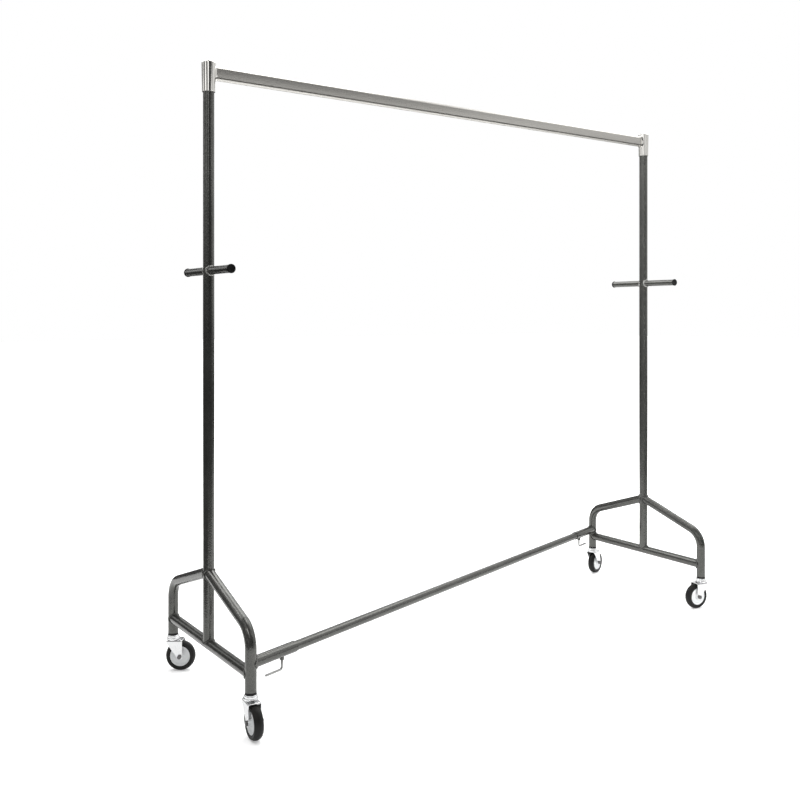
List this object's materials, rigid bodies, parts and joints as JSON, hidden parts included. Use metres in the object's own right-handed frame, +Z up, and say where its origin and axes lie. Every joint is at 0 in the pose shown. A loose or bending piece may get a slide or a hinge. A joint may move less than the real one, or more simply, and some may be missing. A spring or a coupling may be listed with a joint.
{
  "type": "rolling clothes rack",
  "caption": "Wide rolling clothes rack: two painted tube end frames with bent legs and push handles, a flat oval hanging rail, a diagonal brace and swivel casters.",
  "frame": {"origin": "middle of the footprint's bounding rectangle, on the floor, with every caster at its stored heading; the middle of the rack between the uprights stands at (-22.3, 19.7) mm from it", "axes": "+X along the hanging rail from the left end frame to the right one, +Y from the front legs to the rear legs, +Z up"},
  "size_m": [2.1328, 0.712, 2],
  "materials": {
    "frame_paint": "semi-gloss hammered grey paint",
    "rail_metal": "satin nickel",
    "nickel": "bright nickel plate",
    "zinc": "bright zinc plate",
    "ball_steel": "polished",
    "black_steel": "black oxide",
    "black_plastic": "satin moulded",
    "wheel_plastic": "light grey moulded",
    "rubber": "black rubber"
  },
  "bodies": {
    "frame": {"upright_left": "frame_paint", "leg_front_left": "frame_paint", "leg_rear_left": "frame_paint", "crossbar_left": "frame_paint", "handle_left": "frame_paint", "handle_caps_left": "black_plastic", "top_fitting_left": "nickel", "sleeve_left": "frame_paint", "clamp_nut_left": "frame_paint", "upright_right": "frame_paint", "leg_front_right": "frame_paint", "leg_rear_right": "frame_paint", "crossbar_right": "frame_paint", "handle_right": "frame_paint", "handle_caps_right": "black_plastic", "top_fitting_right": "nickel", "sleeve_right": "frame_paint", "clamp_nut_right": "frame_paint", "brace": "frame_paint", "rail": "rail_metal", "fitting_screws": "black_steel", "insert_front_left": "black_plastic", "stem_front_left": "zinc", "race_cap_front_left": "zinc", "balls_front_left": "ball_steel", "insert_rear_left": "black_plastic", "stem_rear_left": "zinc", "race_cap_rear_left": "zinc", "balls_rear_left": "ball_steel", "insert_front_right": "black_plastic", "stem_front_right": "zinc", "race_cap_front_right": "zinc", "balls_front_right": "ball_steel", "insert_rear_right": "black_plastic", "stem_rear_right": "zinc", "race_cap_rear_right": "zinc", "balls_rear_right": "ball_steel"},
    "clamp_left": {"clamp_screw_left": "zinc"},
    "clamp_right": {"clamp_screw_right": "zinc"},
    "fork_front_left": {"fork_front_left": "zinc", "axle_front_left": "black_steel", "bush_front_left": "zinc"},
    "wheel_front_left": {"wheel_front_left": "wheel_plastic", "tyre_front_left": "rubber"},
    "fork_rear_left": {"fork_rear_left": "zinc", "axle_rear_left": "black_steel", "bush_rear_left": "zinc"},
    "wheel_rear_left": {"wheel_rear_left": "wheel_plastic", "tyre_rear_left": "rubber"},
    "fork_front_right": {"fork_front_right": "zinc", "axle_front_right": "black_steel", "bush_front_right": "zinc"},
    "wheel_front_right": {"wheel_front_right": "wheel_plastic", "tyre_front_right": "rubber"},
    "fork_rear_right": {"fork_rear_right": "zinc", "axle_rear_right": "black_steel", "bush_rear_right": "zinc"},
    "wheel_rear_right": {"wheel_rear_right": "wheel_plastic", "tyre_rear_right": "rubber"}
  },
  "joints": [
    {"name": "clamp_turn_left", "type": "hinge", "parent": "frame", "child": "clamp_left", "pos_m": [-0.91929, -0.24549, 0.186], "axis": [0, 0, 1], "range_deg": [-360, 0]},
    {"name": "clamp_turn_right", "type": "hinge", "parent": "frame", "child": "clamp_right", "pos_m": [0.86329, 0.28139, 0.186], "axis": [0, 0, 1], "range_deg": [-360, 0]},
    {"name": "swivel_front_left", "type": "hinge", "parent": "frame", "child": "fork_front_left", "pos_m": [-1.03725, -0.28035, 0.104], "axis": [0, 0, 1], "continuous": true},
    {"name": "swivel_rear_left", "type": "hinge", "parent": "frame", "child": "fork_rear_left", "pos_m": [-1.03725, 0.31965, 0.104], "axis": [0, 0, 1], "continuous": true},
    {"name": "swivel_front_right", "type": "hinge", "parent": "frame", "child": "fork_front_right", "pos_m": [0.99275, -0.28035, 0.104], "axis": [0, 0, 1], "continuous": true},
    {"name": "swivel_rear_right", "type": "hinge", "parent": "frame", "child": "fork_rear_right", "pos_m": [0.99275, 0.31965, 0.104], "axis": [0, 0, 1], "continuous": true},
    {"name": "roll_front_left", "type": "hinge", "parent": "fork_front_left", "child": "wheel_front_left", "pos_m": [-1.03992, -0.30621, 0.05], "axis": [0.9947, -0.1028, 0], "continuous": true},
    {"name": "roll_rear_left", "type": "hinge", "parent": "fork_rear_left", "child": "wheel_rear_left", "pos_m": [-1.01614, 0.30448, 0.05], "axis": [0.5835, 0.8121, 0], "continuous": true},
    {"name": "roll_front_right", "type": "hinge", "parent": "fork_front_right", "child": "wheel_front_right", "pos_m": [0.96715, -0.27579, 0.05], "axis": [-0.1754, -0.9845, 0], "continuous": true},
    {"name": "roll_rear_right", "type": "hinge", "parent": "fork_rear_right", "child": "wheel_rear_right", "pos_m": [1.01765, 0.32712, 0.05], "axis": [-0.2874, 0.9578, 0], "continuous": true}
  ]
}
